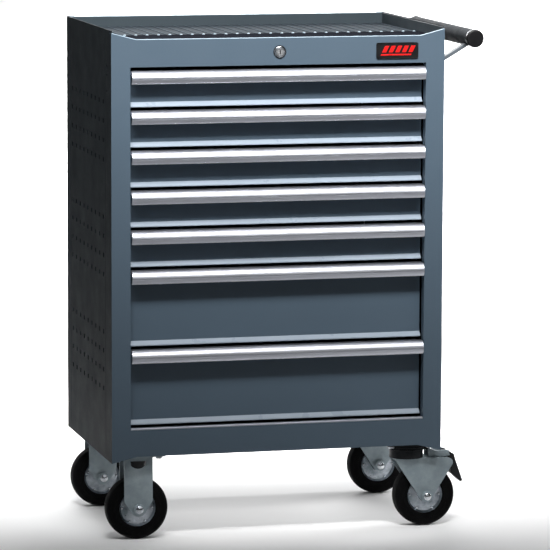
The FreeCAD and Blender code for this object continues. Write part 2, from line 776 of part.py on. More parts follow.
def castor_plate(body):
    """Bolt-on plate, drawn about the castor's own centre."""
    x = D.plate_long * 0.5
    y = D.plate_wide * 0.5
    holes = [circle(bolt_x, bolt_y, D.bolt_hole) for bolt_x, bolt_y in bolt_points(dim(0), dim(0))]
    pad(body, "XY", D.rail_bottom - D.plate_thick, D.plate_thick, [rect(-x, -y, x, y)] + holes)


def fixed_fork(name, x, y):
    """Plate and fork of a fixed castor, with a D-shaped window in each leg."""
    body = new_body(name, x, y, 0)
    castor_plate(body)
    web_top = D.rail_bottom - D.plate_thick
    web_bottom = web_top - D.fork_thick
    outer = D.fork_inner + D.fork_thick
    pad(body, "XY", web_bottom, D.fork_thick, [rect(-D.leg_half, -outer, D.leg_half, outer)])
    leg = loop([
        (-D.leg_half, web_top), (-D.leg_half, AXLE_Z + 16), (-13, AXLE_Z - 9),
        (13, AXLE_Z - 9), (D.leg_half, AXLE_Z + 16), (D.leg_half, web_top),
    ], {2: 16})
    window = loop([
        (-16.5, web_top - 10), (-15, web_top - 19), (15, web_top - 19), (16.5, web_top - 10),
    ], {1: 20})
    eye = circle(0, AXLE_Z, D.axle_hole)
    pad(body, "XZ", -outer, D.fork_thick, [leg, window, eye])
    pad(body, "XZ", D.fork_inner, D.fork_thick, [leg, window, eye])
    return body


def fixed_castors():
    pieces = []
    for row, y in (("front", D.castor_front), ("rear", D.castor_rear)):
        pieces.append(fixed_fork(f"fixed_fork_{row}", -D.castor_x, y))
        pieces.append(axle_bolt(-D.castor_x, y))
    group("fixed_castor_forks", pieces)


def swivel_plates():
    """Plates of the swivel castors with their upper race and kingpin."""
    plates = []
    under = D.rail_bottom - D.plate_thick
    for row, y in (("front", D.castor_front), ("rear", D.castor_rear)):
        body = new_body(f"swivel_plate_{row}", D.castor_x, y, 0)
        castor_plate(body)
        pad(body, "XY", under - 12, 12, [circle(0, 0, D.race_radius)])
        pad(body, "XY", under - 35, 35, [circle(0, 0, D.kingpin_radius)])
        pad(body, "XY", under - 38, 3, [circle(0, 0, D.kingpin_radius * 1.5)])
        plates.append(body)
    group("swivel_castor_plates", plates)


def swivel_fork(row, y, braked):
    """Swivel fork with V-shaped legs; the braked one carries lugs for its pedal."""
    body = new_body(f"swivel_fork_{row}", D.castor_x, y, 0)
    web_bottom = D.web_top - D.fork_thick
    outer = D.fork_inner + D.fork_thick
    bore = D.kingpin_radius + 0.1
    pad(body, "XY", web_bottom, D.fork_thick, [rect(-28, -outer, 62, outer), circle(0, 0, bore)])
    pad(body, "XY", D.web_top, D.crown_top - D.web_top,
        [circle(0, 0, D.race_radius - 3), circle(0, 0, bore)])
    leg = loop([
        (-28, D.web_top), (-28, D.web_top - 4), (D.castor_trail - 11, AXLE_Z - 7),
        (D.castor_trail + 11, AXLE_Z - 7), (91, D.web_top - 15), (87, D.web_top - 3),
        (80, D.web_top),
    ], {2: 13.5, 4: 9.5})
    eye = circle(D.castor_trail, AXLE_Z, D.axle_hole)
    pad(body, "XZ", -outer, D.fork_thick, [leg, eye])
    pad(body, "XZ", D.fork_inner, D.fork_thick, [leg, eye])
    pieces = [body, axle_bolt(D.castor_x + D.castor_trail, y)]
    if braked:
        lug = loop([
            (42, D.web_top - 1), (42, 157), (56, 152), (76, 153.5), (87, 152), (88, 142),
            (66, D.web_top - 1),
        ], {4: 11})
        seat = circle(D.brake_x, D.brake_z, D.brake_pin + 0.05)
        gap = D.brake_half + 0.5
        pad(body, "XZ", -gap - 3, 3, [lug, seat])
        pad(body, "XZ", gap, 3, [lug, seat])
        strip = [(39.5, 154.5), (42, 158), (73, 146.5), (71.5, 143.5)]
        pad(body, "XZ", -gap - 3, gap * 2 + 6, [loop(strip)])
        reach = gap + 4.5
        pieces.append(rod(D.castor_x + D.brake_x, y - reach, D.brake_z, D.brake_pin,
                          reach * 2, (0, 1, 0)))
    group(f"{row}_right_fork", pieces)


def brake_pedal():
    """Foot pedal of the braked castor, with its hub on the pivot pin."""
    body = new_body("front_right_brake_pedal", D.castor_x, D.castor_front, 0)
    pedal = [
        (75.5, 150), (79, 153.5), (97, 144), (101, 131), (116, 88), (112, 86),
        (92, 104), (88, 126), (78, 138),
    ]
    pad(body, "XZ", -D.brake_half, D.brake_half * 2,
        [loop(pedal, {0: 5, 4: 3}), circle(D.brake_x, D.brake_z, D.brake_pin + 0.05)])
    keep(body, "front_right_brake_pedal")


def wheel(name, x, y):
    """Pressed rim with its hub, and the tyre round it."""
    rim = new_body(f"{name}_rim", x, y, AXLE_Z)
    revolve(rim, [
        (-21, D.axle_hole), (21, D.axle_hole), (21, 12), (11, 14), (9, 33), (14, 36.5),
        (14, 40), (-14, 40), (-14, 36.5), (-9, 33), (-11, 14), (-21, 12),
    ])
    keep(rim, f"{name}_rim")
    tyre = new_body(f"{name}_tyre", x, y, AXLE_Z)
    crown = D.wheel_radius - 1
    revolve(tyre, [
        (14, 40), (14, 36.6), (16.5, 37), (18, 46), (18, 54), (12, crown),
        (-12, crown), (-18, 54), (-18, 46), (-16.5, 37), (-14, 36.6), (-14, 40),
    ], {4: 9, 5: 72.5, 6: 9})
    keep(tyre, f"{name}_tyre")


def castors():
    fixed_castors()
    swivel_plates()
    swivel_fork("front", D.castor_front, True)
    swivel_fork("rear", D.castor_rear, False)
    brake_pedal()
    for name, x, y in castor_centres():
        wheel(name, x + D.castor_trail if "right" in name else x, y)
    bolts = []
    under = D.rail_bottom - D.plate_thick
    for name, x, y in castor_centres():
        for bolt_x, bolt_y in bolt_points(x, y):
            shank = rod(bolt_x, bolt_y, under, D.bolt_radius, 14, (0, 0, 1))
            head = rod(bolt_x, bolt_y, under - 5, D.bolt_radius * 1.75, 5, (0, 0, 1), sides=6)
            nut = rod(bolt_x, bolt_y, D.rail_bottom + T, D.bolt_radius * 1.75, 6.5, (0, 0, 1),
                      sides=6)
            bolts.append(fuse([shank, head, nut]))
    group("castor_bolts", bolts)


# ---------------------------------------------------------------- build, check and write

front_frame()
for side_name, side_sign in SIDES:
    side_panel(f"{side_name}_side_panel", side_sign)
back_panel()
top_panel()
top_mat()
base_panel()
slide_uprights()
slides()
for drawer_number, drawer_bottom, drawer_height in drawer_levels():
    drawer_tray(drawer_number, drawer_bottom, drawer_height)
    drawer_pull(drawer_number, drawer_bottom, drawer_height)
lock()
name_badge()
push_handle()
castors()
doc.recompute()

for obj in doc.Objects:
    if "Invalid" in obj.State or "Error" in obj.State:
        raise RuntimeError(f"{obj.Label} did not build: {obj.State}")

os.makedirs("parts", exist_ok=True)
for node in nodes:
    shape = node.Shape
    if shape.isNull() or not shape.isValid() or not shape.Solids:
        raise RuntimeError(f"{node.Label} has no valid solid")
    shape.exportStep(os.path.join("parts", f"{node.Label}.step"))
print(f"{len(nodes)} sub-parts written")
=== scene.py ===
import json
import math
import bmesh
import bpy
from mathutils import Matrix, Vector

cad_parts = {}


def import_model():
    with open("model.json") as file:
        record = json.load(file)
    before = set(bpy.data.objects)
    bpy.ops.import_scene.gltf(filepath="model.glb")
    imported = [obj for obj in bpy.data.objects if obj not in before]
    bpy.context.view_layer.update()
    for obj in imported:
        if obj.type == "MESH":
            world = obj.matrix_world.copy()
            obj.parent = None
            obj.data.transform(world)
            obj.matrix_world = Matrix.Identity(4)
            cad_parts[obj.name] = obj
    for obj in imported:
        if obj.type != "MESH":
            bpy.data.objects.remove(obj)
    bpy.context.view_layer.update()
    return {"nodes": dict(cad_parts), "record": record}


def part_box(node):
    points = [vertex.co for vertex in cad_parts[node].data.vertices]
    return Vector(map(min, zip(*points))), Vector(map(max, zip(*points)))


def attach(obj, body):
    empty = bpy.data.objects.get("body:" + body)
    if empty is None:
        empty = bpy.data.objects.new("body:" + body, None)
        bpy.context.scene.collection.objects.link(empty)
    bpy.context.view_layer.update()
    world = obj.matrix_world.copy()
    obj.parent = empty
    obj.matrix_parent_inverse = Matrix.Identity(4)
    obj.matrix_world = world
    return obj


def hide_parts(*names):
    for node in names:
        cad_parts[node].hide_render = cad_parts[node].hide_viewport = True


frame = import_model()
NODES = frame["nodes"]
CARRIER = {member: body for body, members in frame["record"]["behaviour"]["bodies"].items()
           for member in members}
MM = 0.001

# Places in millimetres, from the middle of the cabinet's front face at the floor: x to the
# handle's side, y to the back, z up.
LOCK_HEIGHT = 966.3
GRIP_X, GRIP_Z, GRIP_RADIUS = 403.5, 985.6, 16.75
AXLE_HEIGHT = 62.5
KINGPIN_X = 279
ROWS = (("front", 48), ("rear", 390))          # y of the kingpins
SIDES = (("left", -279), ("right", 315))       # x of the axles
MIDDLE_X = -0.04                               # the cabinet's middle in the part's frame, metres


# ---------------------------------------------------------------- materials
class Shader:
    """A material's node tree, built with short calls. Lengths are in metres of the object."""

    def __init__(self, name):
        self.material = bpy.data.materials.new(name)
        self.material.use_nodes = True
        self.tree = self.material.node_tree
        self.bsdf = self.tree.nodes["Principled BSDF"]
        self.place = self.node("ShaderNodeTexCoord").outputs["Object"]

    def node(self, kind, **settings):
        made = self.tree.nodes.new(kind)
        for key, value in settings.items():
            setattr(made, key, value)
        return made

    def link(self, a, b):
        self.tree.links.new(a, b)

    def put(self, socket, value):
        if isinstance(value, bpy.types.NodeSocket):
            self.link(value, socket)
        else:
            socket.default_value = value

    def scaled(self, scale):
        made = self.node("ShaderNodeMapping")
        self.link(self.place, made.inputs["Vector"])
        made.inputs["Scale"].default_value = scale
        return made.outputs["Vector"]

    def noise(self, size, detail=2.0, rough=0.5, stretch=(1, 1, 1)):
        """Noise with patches of about that size; stretch above 1 draws them out along an axis."""
        scaled = self.scaled([1 / (size * s) for s in stretch])
        made = self.node("ShaderNodeTexNoise")
        self.link(scaled, made.inputs["Vector"])
        made.inputs["Scale"].default_value = 1.0
        made.inputs["Detail"].default_value = detail
        made.inputs["Roughness"].default_value = rough
        return made.outputs["Fac"]

    def cells(self, size):
        """Distance from the middles of cells of about that size."""
        scaled = self.scaled([1 / size] * 3)
        made = self.node("ShaderNodeTexVoronoi", feature="F1")
        self.link(scaled, made.inputs["Vector"])
        made.inputs["Scale"].default_value = 1.0
        return made.outputs["Distance"]

    def spread(self, value, low, high, to_low=0.0, to_high=1.0):
        """Maps low..high onto to_low..to_high, and holds it at the ends."""
        made = self.node("ShaderNodeMapRange", clamp=True)
        self.put(made.inputs["Value"], value)
        for key, number in (("From Min", low), ("From Max", high), ("To Min", to_low), ("To Max", to_high)):
            made.inputs[key].default_value = number
        return made.outputs["Result"]

    def math(self, operation, a, b):
        made = self.node("ShaderNodeMath", operation=operation)
        self.put(made.inputs[0], a)
        self.put(made.inputs[1], b)
        return made.outputs[0]

    def mix(self, factor, a, b):
        made = self.node("ShaderNodeMix", data_type="RGBA")
        self.put(made.inputs["Factor"], factor)
        self.put(made.inputs["A"], a if not isinstance(a, tuple) else (*a, 1.0))
        self.put(made.inputs["B"], b if not isinstance(b, tuple) else (*b, 1.0))
        return made.outputs["Result"]

    def bump(self, height, depth, under=None):
        made = self.node("ShaderNodeBump")
        self.put(made.inputs["Height"], height)
        made.inputs["Strength"].default_value = 1.0
        made.inputs["Distance"].default_value = depth
        if under is not None:
            self.link(under, made.inputs["Normal"])
        return made.outputs["Normal"]

    def upright(self, vector):
        """The z part of a vector."""
        parts = self.node("ShaderNodeSeparateXYZ")
        self.link(vector, parts.inputs[0])
        return parts.outputs["Z"]

    def edges(self, radius):
        """1 on edges within the radius, 0 on flat ground."""
        rounded = self.node("ShaderNodeBevel", samples=4)
        rounded.inputs["Radius"].default_value = radius
        flat = self.node("ShaderNodeNewGeometry").outputs["Normal"]
        dot = self.node("ShaderNodeVectorMath", operation="DOT_PRODUCT")
        self.link(rounded.outputs[0], dot.inputs[0])
        self.link(flat, dot.inputs[1])
        return self.spread(dot.outputs["Value"], 0.995, 0.93)

    def finish(self, colour, rough, normal=None, **fixed):
        self.put(self.bsdf.inputs["Base Color"], colour)
        self.put(self.bsdf.inputs["Roughness"], rough)
        if normal is not None:
            self.link(normal, self.bsdf.inputs["Normal"])
        for key, value in fixed.items():
            self.bsdf.inputs[key.replace("_", " ")].default_value = value
        return self.material


def linear(r, g, b):
    """A colour given as 0-255 display values."""
    return tuple((v / 255 / 12.92) if v / 255 <= 0.04045 else ((v / 255 + 0.055) / 1.055) ** 2.4
                 for v in (r, g, b))


def shade(colour, factor):
    return tuple(min(1.0, c * factor) for c in colour)


DUST_ON_PAINT = (0.35, 0.34, 0.32)
DUST_IN_GRAIN = (0.24, 0.235, 0.225)


def paint(name, colour, rough, shine=0.5, coat=0.0):
    """Powder coat: a faint orange peel, slow drift of tone, dust on flat tops, and edges made lighter, partly
    wear and partly a painted highlight.
    """
    s = Shader(name)
    tone = s.mix(s.noise(0.22, 3.0), shade(colour, 0.93), shade(colour, 1.07))
    fleck = s.spread(s.noise(0.0009, 1.0), 0.35, 0.7, 0.0, 0.25)
    tone = s.mix(fleck, tone, shade(colour, 1.25))
    # Edges mixed toward a paler coat: partly wear, partly a painted highlight where rounded edges catch the
    # light.
    worn_and_lit_edges = s.math("MULTIPLY", s.edges(0.0011), s.spread(s.noise(0.03, 4.0, 0.65), 0.42, 0.62, 0.1, 0.45))
    tone = s.mix(worn_and_lit_edges, tone, shade(colour, 1.7))
    flat_top = s.spread(s.upright(s.node("ShaderNodeNewGeometry").outputs["Normal"]), 0.7, 1.0)
    dust = s.math("MULTIPLY", flat_top, s.spread(s.noise(0.05, 5.0, 0.7), 0.45, 0.75, 0.0, 0.18))
    tone = s.mix(dust, tone, DUST_ON_PAINT)
    cloud = s.spread(s.noise(0.06, 4.0, 0.6), 0.3, 0.7, rough - 0.05, rough + 0.07)
    gloss = s.math("ADD", cloud, s.math("MULTIPLY", dust, 0.6))
    peel = s.bump(s.noise(0.0028, 1.0), 0.00008)
    grain = s.bump(s.noise(0.0007, 1.0), 0.00003, peel)
    return s.finish(tone, gloss, grain, Specular_IOR_Level=shine, Coat_Weight=coat, Coat_Roughness=0.18)


def drawn(name, colour, rough, stretch, grain, wear, metallic=1.0):
    """Drawn or brushed metal: fine lines along one axis, slow clouding, a few scratches."""
    s = Shader(name)
    lines = s.noise(grain, 3.0, 0.6, stretch)
    tone = s.mix(lines, shade(colour, 0.9), shade(colour, 1.06))
    worn = s.spread(s.noise(0.08, 4.0, 0.6), 0.45, 0.7, 0.0, wear)
    tone = s.mix(worn, tone, shade(colour, 0.72))
    cloud = s.spread(s.noise(0.04, 4.0), 0.4, 0.7, 0.0, 0.03)
    gloss = s.math("ADD", s.spread(lines, 0.3, 0.7, rough - 0.06, rough + 0.06), cloud)
    return s.finish(tone, gloss, s.bump(lines, 0.000004), Metallic=metallic)


def plated(name, colour, rough=0.34, tint=(0.62, 0.66, 0.72), metallic=1.0):
    """Zinc plate: crystalline clouding, faint blue and straw drift, fingerprints of dullness."""
    s = Shader(name)
    tone = s.mix(s.spread(s.noise(0.03, 4.0, 0.6), 0.35, 0.65), colour, shade(tint, 0.95))
    tone = s.mix(s.spread(s.cells(0.0035), 0.1, 0.7, 0.0, 0.16), tone, shade(colour, 1.2))
    tone = s.mix(s.spread(s.noise(0.012, 5.0, 0.7), 0.58, 0.75, 0.0, 0.3), tone, shade(colour, 0.62))
    gloss = s.spread(s.noise(0.009, 5.0, 0.65), 0.3, 0.7, rough - 0.09, rough + 0.13)
    return s.finish(tone, gloss, s.bump(s.noise(0.0012, 3.0, 0.6), 0.00004), Metallic=metallic)


def moulded(name, colour, rough, grain, depth, dusty, shine=0.4, worn_above=0.0):
    """Plastic or rubber: a fine moulded grain and a little dust in it, paler above a height if one is given."""
    s = Shader(name)
    tone = s.mix(s.noise(0.05, 3.0), shade(colour, 0.85), shade(colour, 1.15))
    tone = s.mix(s.spread(s.noise(0.008, 6.0, 0.75), 0.5, 0.8, 0.0, dusty), tone, DUST_IN_GRAIN)
    gloss = s.spread(s.noise(0.02, 4.0, 0.6), 0.3, 0.7, rough - 0.07, rough + 0.1)
    height = s.math("ADD", s.cells(grain), s.noise(grain * 3, 2.0))
    if worn_above:
        tops = s.spread(s.upright(s.place), worn_above - 0.0003, worn_above)
        worn = s.math("MULTIPLY", tops, s.spread(s.noise(0.02, 4.0, 0.6), 0.3, 0.6, 0.6, 1.0))
        tone = s.mix(worn, tone, shade(colour, 1.8))
    return s.finish(tone, gloss, s.bump(height, depth), Specular_IOR_Level=shine)


LOOKS = {
    "front_paint": paint("front_powder_coat", linear(76, 91, 104), 0.4, 0.35, 0.15),
    "side_paint": paint("side_powder_coat", linear(23, 29, 33), 0.55, 0.05),
    "upright_steel": paint("base_powder_coat", linear(14, 15, 17), 0.5, 0.1),
    "stay_grey": paint("stay_powder_coat", linear(86, 92, 98), 0.4),
    "handle_aluminium": drawn("anodised_aluminium", linear(218, 220, 228), 0.36, (400, 1, 1), 0.00035, 0.06),
    "slide_steel": drawn("bright_slide_steel", linear(190, 193, 196), 0.3, (1, 300, 1), 0.0004, 0.25),
    "zinc": plated("blue_zinc", linear(116, 126, 132)),
    "bolt_zinc": plated("bright_zinc", linear(196, 199, 202), 0.28),
    # Dark dull zinc of the races and seals, its darkness partly painted shade; it also paints shade on the
    # swivel crowns.
    "bearing_dark": plated("dull_zinc_and_painted_shade", linear(34, 36, 38), 0.45, (0.04, 0.042, 0.045)),
    "lock_chrome": drawn("nickel_plate", linear(225, 227, 230), 0.25, (1, 1, 1), 0.0015, 0.1, 0.75),
    "mat_rubber": moulded("mat_rubber", linear(62, 70, 77), 0.85, 0.0009, 0.0001, 0.1, 0.08, 0.9897),
    "tyre_rubber": moulded("tyre_rubber", linear(2, 2, 3), 0.7, 0.0008, 0.00005, 0.01, 0.1),
    "black_plastic": moulded("black_plastic", linear(12, 12, 14), 0.4, 0.0006, 0.00004, 0.03),
    "grip_grey": moulded("grip_sleeve", linear(38, 43, 48), 0.6, 0.0007, 0.00006, 0.06, 0.12),
}
RED = paint("red_enamel", linear(205, 24, 22), 0.3, 0.5)
# Pale paint, about twice as light as the front coat, for the rolled hems and the mat's rib ends: a painted
# highlight.
HEM_HIGHLIGHT = paint("rounded_hem", linear(150, 170, 184), 0.3, 0.6, 0.3)
# Pale coat on the drawers' upturned flares: a painted highlight of light catching the flare.
FLARE_HIGHLIGHT = paint("flare_painted_highlight", linear(140, 152, 164), 0.3, 0.6, 0.3)
LINER = moulded("liner_foam", linear(30, 31, 34), 0.7, 0.0012, 0.0001, 0.08, 0.2)
# A paler copy of the blue zinc for the forks and axle washers: painted light for forks lit from the front.
FORK_ZINC_LIT = plated("fork_zinc", linear(138, 151, 157), 0.48, (0.36, 0.42, 0.45), 0.5)
BRIGHT = plated("polished_zinc", linear(214, 217, 220), 0.2)
# A dark, dull strip laid over the front of the mat: painted shade.
MAT_SHADE_STRIP = moulded("mat_painted_shade", linear(34, 36, 42), 1.0, 0.0012, 0.0001, 0.0, 0.0)
# Near-black matt sheets behind the tool holes: painted shade for the cabinet's dark inside.
SHADE_SHEET = paint("inner_sheet_primer", linear(4, 4, 5), 0.8, 0.02)
TRAY = paint("tray_powder_coat", linear(66, 76, 82), 0.45, 0.3, 0.3)
for node in NODES.values():
    for seat in node.material_slots:
        seat.material = LOOKS[seat.material.name.split(".")[0]]


# ---------------------------------------------------------------- rounded CAD pieces
WELD = 2e-6             # metres
FLAT_WITHIN = 0.4       # degrees: faces that make one flat face
SHARP_ABOVE = 25.0      # degrees: edges that are rounded


def soften(node, radius, look=None, part=None):
    """Stands in for a CAD node, its sharp edges rounded as pressed sheet or a casting has them.

    part is (material, test): the faces that pass the test have that material.
    """
    mesh = NODES[node].data.copy()
    work = bmesh.new()
    work.from_mesh(mesh)
    bmesh.ops.remove_doubles(work, verts=work.verts, dist=WELD)
    bmesh.ops.dissolve_limit(work, angle_limit=math.radians(FLAT_WITHIN), verts=work.verts,
                             edges=work.edges, delimit={"MATERIAL"})
    edges = [edge for edge in work.edges
             if len(edge.link_faces) == 2 and edge.calc_face_angle(0) > math.radians(SHARP_ABOVE)]
    bmesh.ops.bevel(work, geom=edges, offset=radius, segments=2, profile=0.5, affect="EDGES",
                    clamp_overlap=True, loop_slide=True)
    for face in work.faces:
        face.smooth = True
    work.to_mesh(mesh)
    work.free()
    if "custom_normal" in mesh.attributes:
        mesh.attributes.remove(mesh.attributes["custom_normal"])
    for edge in mesh.edges:
        edge.use_edge_sharp = False
    if look:
        mesh.materials[0] = look
    if part:
        finish, chosen = part
        mesh.materials.append(finish)
        for face in mesh.polygons:
            if chosen(face):
                face.material_index = 1
    piece = bpy.data.objects.new(node + "_rounded", mesh)
    bpy.context.scene.collection.objects.link(piece)
    weighted = piece.modifiers.new("normals", "WEIGHTED_NORMAL")
    weighted.keep_sharp = True
    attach(piece, CARRIER[node])
    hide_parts(node)


def rounded_parts():
    """The CAD pieces that are pressed, cast or moulded, and the finish of some of their faces: painted shade on
    the swivel crowns, a painted highlight on the drawer flares, the side coat on the frame's side returns.
    """
    soften("top_panel", 0.0005, TRAY)
    soften("fixed_castor_forks", 0.0006, FORK_ZINC_LIT)
    for row, y in ROWS:
        pin = place(KINGPIN_X, y, 0)
        # Crown faces near the kingpin take the dark bearing finish: painted shade under the cabinet.
        soften(row + "_right_fork", 0.0006, FORK_ZINC_LIT,
               (LOOKS["bearing_dark"], lambda face: face.center.z > 0.1408
                and math.hypot(face.center.x - pin.x, face.center.y - pin.y) < 0.046))
    soften("front_frame", 0.0011,
           part=(LOOKS["side_paint"], lambda face: abs(face.normal.x) > 0.8
                 and abs(face.center.x - MIDDLE_X) > 0.336))
    for name, radius in (("handle_brackets", 0.0006), ("front_right_brake_pedal", 0.0008),
                         ("name_badge", 0.0004), ("lock_housing", 0.0005), ("top_mat", 0.0004)):
        soften(name, radius)
    # The flares of the drawer fronts take the pale coat, a painted highlight.
    flare_back = place(0, 21.4, 0).y
    for number in range(1, 8):
        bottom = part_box(f"drawer_{number}_tray")[0][2]
        soften(f"drawer_{number}_tray", 0.0005,
               part=(FLARE_HIGHLIGHT, lambda face: face.center.y < flare_back and face.normal.y < -0.3
                     and face.center.z < bottom + 0.02))


# ---------------------------------------------------------------- shapes
def place(x, y, z):
    """A point given in millimetres from the middle of the cabinet's front face, at the floor."""
    left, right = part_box("front_frame")
    return Vector(((left[0] + right[0]) / 2 + x * MM, left[1] + y * MM, z * MM))


def add(name, work, body, look, bevel=0.0):
    """Makes an object from a bmesh and hangs it on its body. The bevel is in millimetres."""
    bmesh.ops.recalc_face_normals(work, faces=work.faces)
    mesh = bpy.data.meshes.new(name)
    work.to_mesh(mesh)
    work.free()
    mesh.materials.append(look)
    piece = bpy.data.objects.new(name, mesh)
    bpy.context.scene.collection.objects.link(piece)
    for face in mesh.polygons:
        face.use_smooth = True
    if bevel:
        rounding = piece.modifiers.new("rounding", "BEVEL")
        rounding.width = bevel * MM
        rounding.segments = 2
        rounding.limit_method = "ANGLE"
        rounding.harden_normals = True
    else:
        mesh.set_sharp_from_angle(angle=math.radians(35))
    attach(piece, body)


def turns(count):
    """The angles of that many equal steps round a circle."""
    return [math.tau * k / count for k in range(count)]


def prism(work, outline, axis, start, end):
    """A solid whose outline (x, y, z points in mm, without the axis) is drawn out along an axis."""
    spot = "xyz".index(axis)
    rings = []
    for level in (start, end):
        ring = []
        for pair in outline:
            full = list(pair)
            full.insert(spot, level)
            ring.append(work.verts.new(place(*full)))
        rings.append(ring)
    count = len(outline)
    work.faces.new(rings[0])
    work.faces.new(list(reversed(rings[1])))
    for i in range(count):
        j = (i + 1) % count
        work.faces.new((rings[0][i], rings[1][i], rings[1][j], rings[0][j]))


def lathe(work, centre, axis, profile, steps=32):
    """A turned solid. The profile is (radius, distance along the axis) in mm.

    It closes onto itself, or on the axis where it ends at radius 0.
    """
    if profile[0][0] and not profile[-1][0]:
        profile = [(0, profile[0][1])] + profile
    along = Vector(axis).normalized()
    side = along.orthogonal().normalized()
    other = along.cross(side)
    base = place(*centre)
    rings = []
    for radius, height in profile:
        level = base + along * height * MM
        if radius == 0:
            rings.append([work.verts.new(level)])
            continue
        rings.append([work.verts.new(level + (side * math.cos(a) + other * math.sin(a)) * radius * MM)
                      for a in turns(steps)])
    pairs = list(zip(rings, rings[1:]))
    if profile[0][0] and profile[-1][0]:
        pairs.append((rings[-1], rings[0]))
    for a, b in pairs:
        for i in range(steps):
            j = (i + 1) % steps
            corners = [a[i % len(a)], b[i % len(b)], b[j % len(b)], a[j % len(a)]]
            corners = list(dict.fromkeys(corners))
            if len(corners) > 2:
                work.faces.new(corners)


def bead(work, points, radius, sides=8):
    """A round bead that follows points (mm) in a plane parallel to the front."""
    rings = []
    for i, point in enumerate(points):
        before, after = points[max(i - 1, 0)], points[min(i + 1, len(points) - 1)]
        way = Vector((after[0] - before[0], 0, after[2] - before[2])).normalized()
        across = Vector((-way.z, 0, way.x))
        deep = Vector((0, 1, 0))
        rings.append([work.verts.new(place(*point) + (across * math.cos(a) + deep * math.sin(a)) * radius * MM)
                      for a in turns(sides)])
    work.faces.new(rings[0])
    work.faces.new(list(reversed(rings[-1])))
    for a, b in zip(rings, rings[1:]):
        for k in range(sides):
            m = (k + 1) % sides
            work.faces.new((a[k], a[m], b[m], b[k]))


# Profiles for lathe: (radius, distance along the axis) in mm
PANEL_RIVET = [(0, 1.1), (1.6, 0.95), (2.9, 0.55), (3.4, 0.0), (3.2, -0.5), (0, -0.5)]
RIB_END = [(0, 1.9), (1.5, 1.7), (2.6, 1.0), (3.0, 0.0), (3.0, -0.4), (0, -0.4)]
RUNNER_SCREW = [(0, 1.3), (1.4, 1.3), (1.5, 0.8), (2.2, 1.1), (3.6, 0.5), (3.8, 0.0), (0, -0.3)]
SLIDE_BALL = [(0, -1.5), (1.06, -1.06), (1.5, 0), (1.06, 1.06), (0, 1.5)]
RIM_OF_LOCK = [(8.1, -0.4), (8.1, 0.5), (8.6, 1.0), (9.6, 1.1), (10.5, 0.6), (10.9, -0.3), (10.9, -0.6)]
LOCK_GASKET = [(10.9, -0.1), (12.9, -0.1), (13.0, 0.5), (12.4, 1.2), (11.0, 1.4)]
GRIP_COLLAR = [(16.9, -3.2), (17.5, -3.0), (17.7, -1.5), (17.5, 0.0), (16.9, 0.1)]
CAP_RING = [(11.0, -1.0), (11.2, -0.05), (12.6, -0.05), (12.8, -1.0)]
INNER_BEAD = [(44.2, -0.8), (44.8, 0.35), (46.2, 0.35), (46.8, -0.8)]
OUTER_BEAD = [(54.0, -1.8), (54.4, -0.1), (55.2, -0.1), (55.6, -2.2)]
RIM_RIVET = [(0, 1.3), (1.5, 1.1), (2.4, 0.2), (2.4, -1.0), (0, -1.0)]
RACE_SEAL = [(37.2, -0.9), (38.0, -0.5), (38.2, 0.5), (37.2, 0.9), (36.0, 0.6), (36.0, -0.6)]
RACE_BALL = [(0, -1.4), (1.0, -1.0), (1.4, 0), (1.0, 1.0), (0, 1.4)]
AXLE_WASHER = [(11.2, -3.0), (11.2, -0.2), (10.6, 0.5), (0, 0.5)]
AXLE_NUT = [(7.6, 0.4), (7.6, 2.2), (6.9, 3.0), (5.6, 3.4), (5.2, 5.0), (3.8, 5.9), (0, 6.2)]
FORK_CUP = [(0, 0), (15, 0.4), (20, 3), (22, 8), (22, 33), (0, 33)]


# ---------------------------------------------------------------- pieces
def cabinet():
    """Near-black sheets behind the tool holes, painted shade for the dark inside of the cabinet, and the rivets
    of the back panel.
    """
    for side, sign in (("left", -1), ("right", 1)):
        work = bmesh.new()
        near, far, fold = 301.0 * sign, 302.0 * sign, 309.0 * sign
        for y0, y1 in ((30.5, 59.5), (90.5, 349.5), (380.5, 428)):
            outline = [(near, y0), (fold, y0), (fold, y0 + 1), (far, y0 + 1),
                       (far, y1 - 1), (fold, y1 - 1), (fold, y1), (near, y1)]
            prism(work, outline, "z", 174, 982)
        add("inner_sheet_" + side, work, "cabinet", SHADE_SHEET)
    work = bmesh.new()
    rows = [(x, z) for x in (-318, -190, -64, 64, 190, 318) for z in (184, 968)]
    columns = [(x, z) for x in (-326, 326) for z in (330, 480, 630, 780, 900)]
    for x, z in rows + columns:
        lathe(work, (x, 436.8, z), (0, 1, 0), PANEL_RIVET, 20)
    add("back_panel_rivets", work, "cabinet", LOOKS["bolt_zinc"])


def hems():
    """Rolled edges of the top and the mat's rib ends, both pale as a painted highlight; a dark strip over the
    mat's front, painted shade; and the sill's strip.
    """
    work = bmesh.new()
    # A pale bead along the top's front edge: a painted highlight.
    half = [(286, 1.2, 993.9), (288.6, 1.2, 994.2), (336.2, 1.2, 1006.4)]
    bead(work, [(-x, y, z) for x, y, z in reversed(half)] + half, 1.15)
    add("front_hem", work, "cabinet", HEM_HIGHLIGHT)
    work = bmesh.new()
    # Pale rib ends: painted glints.
    for k in range(-14, 15):
        lathe(work, (23.0 * k, 162.0, 990.6), (0, 0, 1), RIB_END, 16)
    add("mat_rib_ends", work, "cabinet", HEM_HIGHLIGHT)
    work = bmesh.new()
    # A dark strip over the mat's front: painted shade.
    outline = [(3.0, 989.6), (3.0, 990.3), (4.0, 990.7), (170.0, 990.7), (171.0, 990.3), (171.0, 989.6)]
    prism(work, outline, "x", -332.0, 332.0)
    add("mat_front_shade", work, "cabinet", MAT_SHADE_STRIP)
    work = bmesh.new()
    # A pale bead along the rear top edge: a painted highlight.
    bead(work, [(-333.0, 435.0, 1010.3), (333.0, 435.0, 1010.3)], 0.9)
    add("rear_hem", work, "cabinet", HEM_HIGHLIGHT)
    work = bmesh.new()
    outline = [(1.0, 225.0), (1.0, 226.6), (1.8, 228.0), (3.4, 228.6), (12.0, 228.6), (12.0, 225.0)]
    prism(work, outline, "x", -299.0, 299.0)
    add("sill_strip", work, "cabinet", LOOKS["handle_aluminium"])


